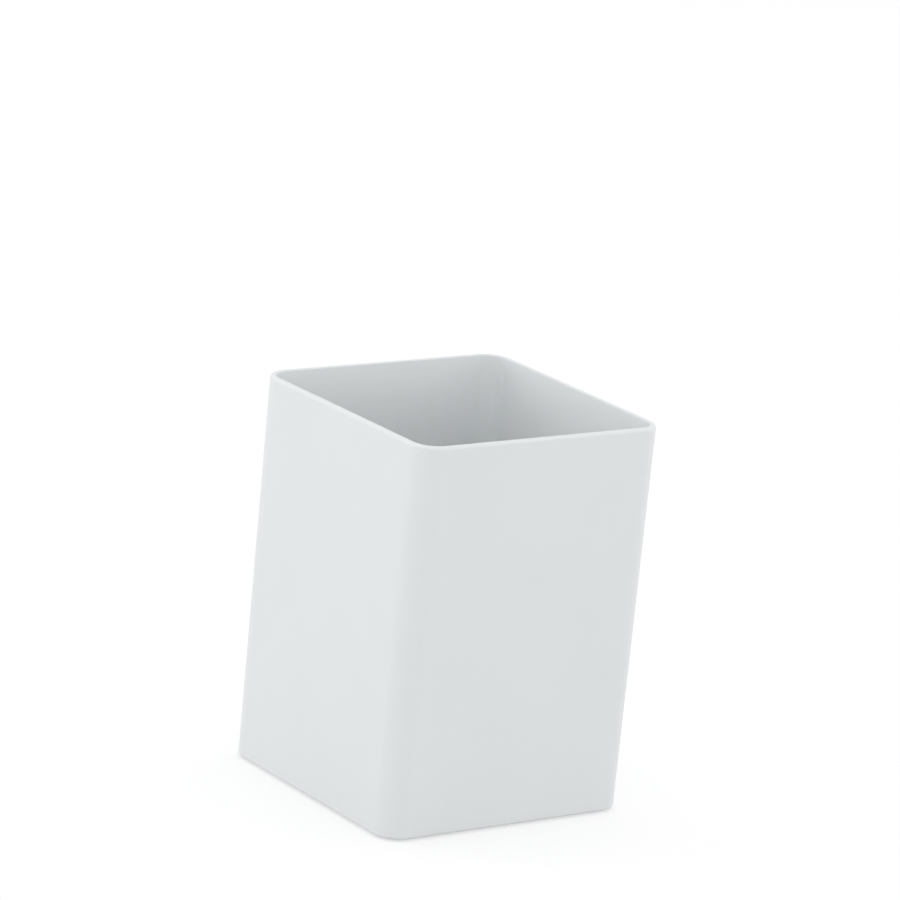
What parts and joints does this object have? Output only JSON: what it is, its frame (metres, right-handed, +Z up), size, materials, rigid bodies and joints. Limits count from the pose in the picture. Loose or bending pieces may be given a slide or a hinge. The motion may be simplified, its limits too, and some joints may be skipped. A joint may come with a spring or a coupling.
{
  "type": "pen cup",
  "caption": "Square open-topped desk cup with straight thin walls, rounded upright corners and a rounded rim, standing on soft feet; holds pens and pencils upright.",
  "frame": {"origin": "on the standing surface, below the middle of the cup", "axes": "+Z up along the cup's upright axis, -Y towards the front face, +X to the right seen from the front"},
  "size_m": [0.0724, 0.0724, 0.1],
  "materials": {
    "cup_plastic": "satin white moulded ABS",
    "foot_rubber": "matte grey thermoplastic rubber"
  },
  "bodies": {
    "root": {"cup_body": "cup_plastic", "foot_front_left": "foot_rubber", "foot_front_right": "foot_rubber", "foot_back_left": "foot_rubber", "foot_back_right": "foot_rubber"}
  },
  "joints": []
}
